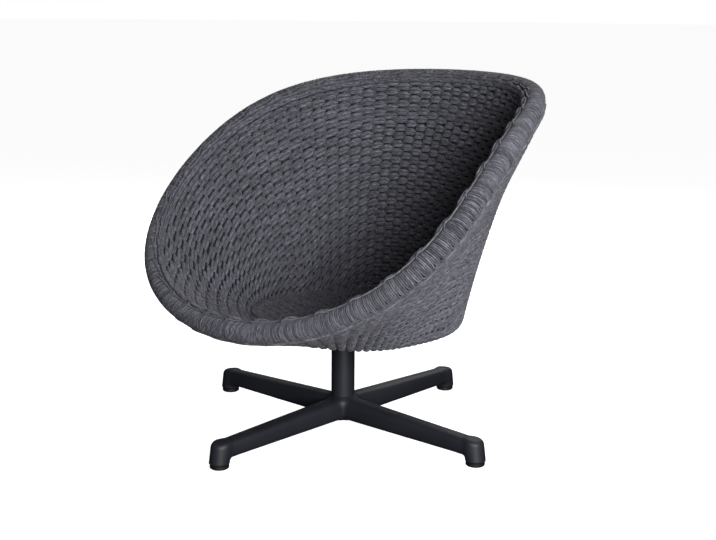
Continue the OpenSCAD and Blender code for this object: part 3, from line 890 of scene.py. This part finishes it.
class CHAIR_OT_ribs(bpy.types.Operator):
    """Bends the ribs that the wall and the seat floor are woven on"""
    bl_idname = "chair.ribs"
    bl_label = "Bend the ribs"

    def execute(self, context):
        sweep = Sweep()
        for i in range(RIBS):
            wall_rib(sweep, i)
        left = left_side(floor_edge())
        for j in range(-FLOOR_RIBS_A_SIDE, FLOOR_RIBS_A_SIDE + 1):
            floor_rib(sweep, j * RIB_SPACING, left)
        material = finish_named("Rib coating", coat_finish, colour=(0.012, 0.012, 0.014), rough=0.5)
        rope_piece(sweep, "ribs", material, "stakes", slot="frame_metal")
        return {"FINISHED"}


# Rim: the wound cord, with its turns drawn together in bundles at the outer edge;
# degrees round the rim go from down the wall towards the sitter

SEED = 7
TURNS_A_RIB = 10
TURN_STEPS = 20
TURN_BEGINS = 0.25
BUNDLE_LEAST = 3
BUNDLE_MOST = 8
BUNDLE_PULL = 0.26
PULL_AT = 272
PULL_SPREAD = 30
TURN_ERROR = 0.09
CORD_ERROR = 0.00012
CORD_BED = 0.0018
CORD_HALF_T = 0.0021
CORD_SIDES = 6
CORD_POWER = 0.9
CORD_TONE = 1.8

# Swellings where the lacing passes round every second rib, and the lacing cord's stitches, counted in ribs
KNUCKLE_WIDTH = 0.24
KNUCKLE_AT = 112
KNUCKLE_SPREAD = 24
KNUCKLE_RISE = 0.0024
LACE_FROM = -0.28
LACE_TO = 2.24
LACE_STEPS = 40
LACE_HIGH = 0.20
LACE_FALL = 0.34
LACE_FALL_OVER = 0.5
LACE_ERROR = 0.02
LACE_DIVE_SHARE = 0.035
LACE_DIVE = 0.0045
LACE_SUNK = 0.0002
LACE_RISE = 0.0028
LACE_GAIN = 1.15


def wrap_shift(turns, rng):
    """Seeded bundles of turns: each turn's place in its bundle, and its own small error."""
    share = np.zeros(turns)
    at = 0
    while at < turns:
        size = int(rng.integers(BUNDLE_LEAST, BUNDLE_MOST + 1))
        span = min(size, turns - at)
        share[at:at + span] = np.arange(span) - (span - 1) / 2
        at += span
    return share, rng.normal(0, TURN_ERROR, turns)


def knuckle(c):
    """Swelling of the rim where the lacing passes round every second rib."""
    return np.exp(-((c / 2 - np.round(c / 2)) * 2 / KNUCKLE_WIDTH) ** 2)


def hump_at(a, middle, spread):
    """One at the middle of a range of degrees round the rim, falling away to both sides."""
    return np.exp(-((np.degrees(a) % 360 - middle) / spread) ** 2)


def toward(turn, down, inner):
    """Direction out of the rim's middle, turned from down the wall towards the sitter."""
    return np.cos(turn)[..., None] * down + np.sin(turn)[..., None] * inner


def wrapping_cord(cord, rng):
    """One cord wound side by side all the way round the rim."""
    turns = RIBS * TURNS_A_RIB
    share, error = wrap_shift(turns, rng)
    fat = rng.normal(0, CORD_ERROR, turns)
    q = np.arange(turns * TURN_STEPS) / TURN_STEPS
    n = np.floor(q + TURN_BEGINS).astype(int) % turns
    a = TAU * q
    pull = share[n] * BUNDLE_PULL * hump_at(a, PULL_AT, PULL_SPREAD)
    c = (q - pull + error[n] * np.sin(math.pi * ((q + TURN_BEGINS) % 1))) / TURNS_A_RIB
    p, ahead, down, inner = rim_frame(turn_of_rib(c))
    out = toward(a, down, inner)
    knot = knuckle(c) * hump_at(a, KNUCKLE_AT, KNUCKLE_SPREAD)
    line = p + (RIM_TUBE_R + CORD_BED + fat[n] + KNUCKLE_RISE * knot)[:, None] * out
    sweep = Sweep()
    sweep.tube(line, ahead, out, cord / 2, CORD_HALF_T, CORD_SIDES, closed=True, power=CORD_POWER)
    return sweep


def lacing(edge, edge_turn, rng):
    """The lacing cord's stitches, each over two ribs and down into the weave at both ends."""
    sweep = Sweep()
    for j in range(RIBS // 2):
        c = np.linspace(2 * j + LACE_FROM, 2 * j + LACE_TO, LACE_STEPS)
        u = (c - c[0]) / (c[-1] - c[0])
        p, ahead, down, inner = rim_frame(turn_of_rib(c))
        turn = edge_turn + LACE_HIGH - LACE_FALL * ease(u / LACE_FALL_OVER) + rng.normal(0, LACE_ERROR)
        dive = np.exp(-(u / LACE_DIVE_SHARE) ** 2) + np.exp(-((1 - u) / LACE_DIVE_SHARE) ** 2)
        out = toward(turn, down, inner)
        reach = RIM_WRAP_R + edge / 2 - LACE_SUNK + LACE_RISE * knuckle(c) - LACE_DIVE * dive
        line = p + reach[:, None] * out
        sweep.tube(line, np.cross(ahead, out), out, edge / 2, edge / 2, ROPE_SIDES, lane=float(j))
    return sweep


class CHAIR_OT_rim(bpy.types.Operator):
    """Winds the cord round the rim and lays the lacing cord along its inner shoulder"""
    bl_idname = "chair.rim"
    bl_label = "Wrap the rim"

    def execute(self, context):
        rim = settings().rim
        rng = np.random.default_rng(SEED)
        wound = wrapping_cord(rim.cord, rng)
        rope_piece(wound, "rim_cord", rope_material("Wrapping cord", turns=CORD_TONE), "rim_wrap")
        stitches = lacing(rim.edge, rim.edge_turn, rng)
        rope_piece(stitches, "lacing_cord", rope_material("Lacing cord", gain=LACE_GAIN), "edge_cord")
        return {"FINISHED"}


# Star casting, as the zero level of one smooth distance field; lengths in metres

ARM_REACH = 0.371
ARM_TURN = math.radians(9.5)
ARM_HALF = (0.0234, 0.0200)
ARM_TOP = (0.0690, 0.0546)
ARM_UNDER = 0.0185
ARM_POWER = 3.2
ARM_END_FILLET = 0.012
FOOT_R = 0.0216
FOOT_LOW = 0.0095
FOOT_LEAN = 0.12
FOOT_TAPER = 0.03
FOOT_PAST_ARM = 0.0004
FOOT_TOP_FILLET = 0.011
FOOT_FILLET = 0.007
HUB_R = 0.026
HUB_TOP = 0.0702
HUB_EDGE = 0.0025
HUB_FILLET = 0.006
HOLLOW_R = 0.020
HOLLOW_TOP = 0.036
SMALL_FILLET = 0.002

# Fillet between two arms: small underneath, and larger towards the top
ARMS_FILLET = 0.003
ARMS_GROWTH = 0.32
ARMS_RISE = 0.05

# Pockets under each arm: where each starts and ends along it
POCKETS = ((0.054, 0.192), (0.200, 0.338))
POCKET_HALF = 0.0140
POCKET_ROUND = 0.008
POCKET_TOP = 0.0405

# The net of quads on that level, which is pulled onto it a few times
CASTING_CELL = 0.0024
CASTING_LOW = 0.005
CASTING_HIGH = 0.080
MARGIN_CELLS = 2.5
NET_PULLS = 3
SLOPE_STEP = 0.0003
LEAST_SLOPE = 0.25


def join(a, b, soft):
    """The nearer of two fields, with a fillet where they meet."""
    h = np.maximum(soft - np.abs(a - b), 0)
    return np.minimum(a, b) - h * h / (4 * soft)


def cut(a, b, soft):
    """What both fields hold, with a rounded edge where they meet."""
    return -join(-a, -b, soft)


def arm_field(x, y, z):
    """Distance to the arm along x, with its leaning foot and the pockets under it."""
    share = np.clip(x / ARM_REACH, 0, 1)
    half = ARM_HALF[0] + (ARM_HALF[1] - ARM_HALF[0]) * share
    top = ARM_TOP[0] + (ARM_TOP[1] - ARM_TOP[0]) * share
    middle, tall = (top + ARM_UNDER) / 2, (top - ARM_UNDER) / 2
    size = (np.abs(y / half) ** ARM_POWER + np.abs((z - middle) / tall) ** ARM_POWER) ** (1 / ARM_POWER)
    arm = cut((size - 1) * half, x - ARM_REACH, ARM_END_FILLET)
    rise = z - FOOT_LOW
    foot = np.hypot(x - ARM_REACH - FOOT_PAST_ARM + FOOT_LEAN * rise, y) - FOOT_R + FOOT_TAPER * rise
    foot = cut(cut(foot, z - top, FOOT_TOP_FILLET), -rise, SMALL_FILLET)
    whole = join(arm, foot, FOOT_FILLET)
    for start, end in POCKETS:
        dx = np.abs(x - (start + end) / 2) - (end - start) / 2 + POCKET_ROUND
        dy = np.abs(y) - POCKET_HALF + POCKET_ROUND
        past = np.hypot(np.maximum(dx, 0), np.maximum(dy, 0))
        side = past + np.minimum(np.maximum(dx, dy), 0) - POCKET_ROUND
        whole = cut(whole, -cut(side, z - POCKET_TOP, SMALL_FILLET), SMALL_FILLET)
    return whole


def star_field(x, y, z):
    """Distance to the star, below zero inside it; the arms lie along the axes."""
    x, y = np.abs(x), np.abs(y)
    soft = ARMS_FILLET + ARMS_GROWTH * np.clip(z - ARM_UNDER, 0, ARMS_RISE)
    arms = join(arm_field(x, y, z), arm_field(y, x, z), soft)
    out = np.hypot(x, y)
    hub = cut(cut(out - HUB_R, z - HUB_TOP, HUB_EDGE), ARM_UNDER - z, SMALL_FILLET)
    hollow = cut(out - HOLLOW_R, z - HOLLOW_TOP, SMALL_FILLET)
    return cut(join(arms, hub, HUB_FILLET), -hollow, SMALL_FILLET)


def net(field, low, high, cell):
    """A mesh of quads on the zero level of a field."""
    axes = [np.arange(a, b, cell) for a, b in zip(low, high)]
    depth = field(*np.meshgrid(*axes, indexing="ij"))
    inside = depth < 0
    n = [size - 1 for size in inside.shape]
    corners = [(a, b, c) for a in (0, 1) for b in (0, 1) for c in (0, 1)]
    held = sum(inside[a:a + n[0], b:b + n[1], c:c + n[2]].astype(int) for a, b, c in corners)
    mixed = (held > 0) & (held < len(corners))
    number = np.full(mixed.shape, -1)
    number[mixed] = np.arange(mixed.sum())
    at = np.argwhere(mixed)
    total, hits = np.zeros(at.shape), np.zeros(len(at))
    quads = []
    for axis in range(3):
        step, one, two = np.roll(np.eye(3, dtype=int), -axis, 0)
        for corner in (0 * one, one, two, one + two):
            a, b = depth[tuple((at + corner).T)], depth[tuple((at + corner + step).T)]
            crossed = (a < 0) != (b < 0)
            share = np.where(crossed, a / np.where(crossed, a - b, 1), 0)
            total += crossed[:, None] * (corner + share[:, None] * step)
            hits += crossed
        ahead = np.roll(inside, -1, axis)
        edge = np.argwhere(inside != ahead)
        edge = edge[((edge + step) < inside.shape).all(1) & ((edge - one - two) >= 0).all(1)]
        ring = np.stack([number[tuple((edge - shift).T)] for shift in (0 * one, one, one + two, two)], -1)
        leaves = inside[tuple(edge.T)]
        quads.append(np.where(leaves[:, None], ring, ring[:, ::-1]))
    points = np.array(low) + cell * (at + total / hits[:, None])
    for _ in range(NET_PULLS):
        value = np.clip(field(*points.T), -cell, cell)
        slope = np.stack([(field(*(points + h).T) - field(*(points - h).T)) / (2 * SLOPE_STEP)
                          for h in SLOPE_STEP * np.eye(3)], -1)
        points -= value[:, None] * slope / np.maximum((slope ** 2).sum(-1), LEAST_SLOPE)[:, None]
    return points, np.concatenate(quads)


class CHAIR_OT_star(bpy.types.Operator):
    """Casts the star foot with its leaning feet and filleted hub"""
    bl_idname = "chair.star"
    bl_label = "Cast the star foot"

    def execute(self, context):
        reach = ARM_REACH + FOOT_R + MARGIN_CELLS * CASTING_CELL
        low, high = (-reach, -reach, CASTING_LOW), (reach, reach, CASTING_HIGH)
        points, quads = net(star_field, low, high, CASTING_CELL)
        c, s = math.cos(ARM_TURN), math.sin(ARM_TURN)
        points = points @ np.array([[c, s, 0], [-s, c, 0], [0, 0, 1]])
        piece = mesh_piece("star_casting", points, quads, coat_material())
        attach(piece, "base")
        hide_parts("star_base")
        return {"FINISHED"}


# Fittings that keep their CAD shape, by their finish
CAD_FINISHES = {
    "coat": ("column_tube",),
    "frame": ("seat_plate", "cross_bars", "floor_ring", "rim_tube"),
    "glide": ("glides",),
    "bush": ("lower_bush", "upper_bush", "thrust_washer"),
    "steel": (
        "glide_studs", "column_plug", "clamp_bolt", "clamp_washer", "spindle", "retaining_washer",
        "retaining_ring", "plate_bolts", "plate_washers", "bar_inserts",
    ),
}


def give_finish(part, material):
    """Puts one finish into every material slot of a CAD part."""
    if not part.material_slots:
        part.data.materials.append(material)
    for item in part.material_slots:
        item.material = material


class CHAIR_OT_fittings(bpy.types.Operator):
    """Finishes the column, in the foot's powder coat, and every fitting that keeps its CAD shape"""
    bl_idname = "chair.fittings"
    bl_label = "Finish the foot and fittings"

    def execute(self, context):
        finishes = {
            "coat": coat_material(),
            "frame": finish_named("Frame coating", coat_finish, colour=(0.014, 0.014, 0.016), rough=0.48),
            "steel": finish_named("Zinc steel", steel_finish, colour=(0.62, 0.62, 0.64)),
            "glide": finish_named("Glide plastic", plastic_finish, colour=(0.006, 0.006, 0.006), rough=0.6),
            "bush": finish_named("Bush plastic", plastic_finish, colour=(0.55, 0.53, 0.48), rough=0.45),
        }
        for key, names in CAD_FINISHES.items():
            for name in names:
                give_finish(CAD[name], finishes[key])
        return {"FINISHED"}


# Camera: its distance from the origin, counted in reaches of a foot, and its turns in radians

FOOT_REACH = 0.3708
DISTANCE = 7.75647007 * FOOT_REACH
LOOK_DOWN = 0.331750297
PAN = -0.0115857949
TILT = 0.121218711
ROLL = 0.00860409492
AZIMUTH = math.radians(52)
FOCAL_PIXELS = 1267.41981
PHOTO_WIDTH = 716
SENSOR = 36.0
CLIP_END = 200.0


def turned(one, two, angle):
    """Two square directions, turned in their own plane."""
    c, s = math.cos(angle), math.sin(angle)
    return one * c + two * s, two * c - one * s


def camera_matrix():
    """The camera's place and turn, found from the four feet, the column and the rim."""
    away = Vector((0, -math.cos(LOOK_DOWN), math.sin(LOOK_DOWN)))
    ahead, right = -away, Vector((1, 0, 0))
    up = right.cross(ahead)
    pan = Matrix.Rotation(PAN, 3, "Z")
    right, up, ahead = pan @ right, pan @ up, pan @ ahead
    tilted, raised = turned(ahead, up, TILT)
    side, top = turned(right, raised, ROLL)
    turn = Matrix.Rotation(AZIMUTH, 3, "Z")
    axes = Matrix((turn @ side, turn @ top, turn @ -tilted)).transposed().to_4x4()
    return Matrix.Translation(turn @ (away * DISTANCE)) @ axes


def add_camera():
    """The camera, with the photograph's field of view."""
    data = bpy.data.cameras.new("photo_camera")
    data.sensor_fit = "HORIZONTAL"
    data.sensor_width = SENSOR
    data.lens = FOCAL_PIXELS / PHOTO_WIDTH * SENSOR
    data.clip_end = CLIP_END
    camera = bpy.data.objects.new("photo_camera", data)
    bpy.context.collection.objects.link(camera)
    camera.matrix_world = camera_matrix()
    bpy.context.scene.camera = camera


# Soft light: each box's direction and height angle in degrees, its size in metres, its watts,
# and whether it shows in glossy surfaces

LIT_HEIGHT = 0.4
SOFTBOX_DISTANCE = 3.0
SOFTBOXES = (
    ("key_softbox", 66, 12, 1.0, 62.0, True),
    ("front_softbox", 57, 8, 0.8, 29.0, True),
    ("side_softbox", 88, 30, 1.2, 20.0, True),
    ("back_softbox", 215, 40, 1.7, 26.0, True),
    ("rear_fill", 236, 12, 1.6, 60.0, False),
)


def add_softbox(name, azimuth, height, size, watts, gloss):
    """A square softbox that faces the shell's middle."""
    az, up = math.radians(azimuth), math.radians(height)
    target = Vector((0, 0, LIT_HEIGHT))
    level = math.cos(up)
    place = target + SOFTBOX_DISTANCE * Vector((level * math.sin(az), -level * math.cos(az), math.sin(up)))
    data = bpy.data.lights.new(name, "AREA")
    data.shape = "SQUARE"
    data.size = size
    data.energy = watts
    box = bpy.data.objects.new(name, data)
    box.location = place
    box.visible_glossy = gloss
    box.rotation_euler = (target - place).to_track_quat("-Z", "Y").to_euler()
    bpy.context.collection.objects.link(box)


# Stage: a wide floor with a round backdrop on it, in metres, and their tones

DIM_AIR = 0.012
FLOOR_HALF = 60.0
FLOOR_TONES = (0.60, 0.62)
FLOOR_GLOW = 0.95
BACKDROP_R = 54.0
BACKDROP_LOW = -1.0
BACKDROP_HIGH = 70.0
BACKDROP_SIDES = 48
BACKDROP_TONES = (0.01, 0.011)
BACKDROP_GLOW = 1.0
WHITE = (1.0, 1.0, 1.0, 1.0)


def glow_material(name, tones, glow):
    """Matt board that glows evenly, so that it stays plain wherever the light falls."""
    n = Nodes(name)
    cloud = n.noise(n.on_object(), scale=0.7)
    material = n.finish(Base_Color=n.ramp(cloud, CLOUD_PLACES, greys(tones)), Roughness=0.9,
                        Emission_Color=WHITE, Emission_Strength=glow)
    material.cycles.emission_sampling = "NONE"
    return material


def add_board(name, points, faces, material):
    """Part of the stage: seen, but it sends no light to the chair."""
    board = mesh_piece(name, points, faces, material)
    board.visible_diffuse = False
    board.visible_glossy = False
    return board


def add_floor():
    """The wide pale floor."""
    half = FLOOR_HALF
    points = np.array([[-half, -half, 0], [half, -half, 0], [half, half, 0], [-half, half, 0]])
    material = glow_material("Pale floor", FLOOR_TONES, FLOOR_GLOW)
    add_board("studio_floor", points, np.array([[0, 1, 2, 3]]), material)


def add_backdrop():
    """The round pale wall behind the chair, which casts no shadow."""
    k = np.arange(BACKDROP_SIDES)
    n = (k + 1) % BACKDROP_SIDES
    turn = TAU * k / BACKDROP_SIDES
    ring = np.stack([np.cos(turn), np.sin(turn)], -1) * BACKDROP_R
    levels = (BACKDROP_LOW, BACKDROP_HIGH)
    points = np.concatenate([np.column_stack([ring, np.full(BACKDROP_SIDES, z)]) for z in levels])
    faces = np.stack([k, k + BACKDROP_SIDES, n + BACKDROP_SIDES, n], -1)
    material = glow_material("Pale backdrop", BACKDROP_TONES, BACKDROP_GLOW)
    backdrop = add_board("studio_backdrop", points, faces, material)
    backdrop.visible_shadow = False


class CHAIR_OT_stage(bpy.types.Operator):
    """Sets the camera at the photograph's angle, the pale floor and the soft studio light"""
    bl_idname = "chair.stage"
    bl_label = "Set the stage"

    def execute(self, context):
        add_camera()
        scene = context.scene
        scene.view_settings.view_transform = "Standard"
        scene.world = bpy.data.worlds.new("Studio")
        scene.world.use_nodes = True
        air = scene.world.node_tree.nodes["Background"]
        air.inputs["Color"].default_value = (DIM_AIR, DIM_AIR, DIM_AIR, 1.0)
        add_floor()
        add_backdrop()
        for softbox in SOFTBOXES:
            add_softbox(*softbox)
        return {"FINISHED"}


class CHAIR_PT_panel(bpy.types.Panel):
    """Lists the chair's pieces and their sizes"""
    bl_idname = "CHAIR_PT_panel"
    bl_label = "Lounge Chair"
    bl_space_type = "VIEW_3D"
    bl_region_type = "UI"
    bl_category = "Lounge Chair"

    def draw(self, context):
        chair = settings()
        for group in (chair.rope, chair.rim, chair.foot):
            box = self.layout.box()
            for key in group.bl_rna.properties.keys():
                if key not in ("rna_type", "name"):
                    box.prop(group, key)
        for step in STEPS:
            self.layout.operator(step.bl_idname)


STEPS = (
    CHAIR_OT_stage, CHAIR_OT_wall, CHAIR_OT_floor, CHAIR_OT_ribs, CHAIR_OT_rim, CHAIR_OT_star,
    CHAIR_OT_fittings,
)
CLASSES = (RopeSettings, RimSettings, FootSettings, ChairSettings, *STEPS, CHAIR_PT_panel)


def register():
    for item in CLASSES:
        bpy.utils.register_class(item)
    bpy.types.Scene.lounge_chair = bpy.props.PointerProperty(type=ChairSettings)


def unregister():
    del bpy.types.Scene.lounge_chair
    for item in reversed(CLASSES):
        bpy.utils.unregister_class(item)


def main():
    """Registers the classes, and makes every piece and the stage."""
    register()
    for step in STEPS:
        area, name = step.bl_idname.split(".")
        getattr(getattr(bpy.ops, area), name)()


if __name__ == "__main__":
    main()
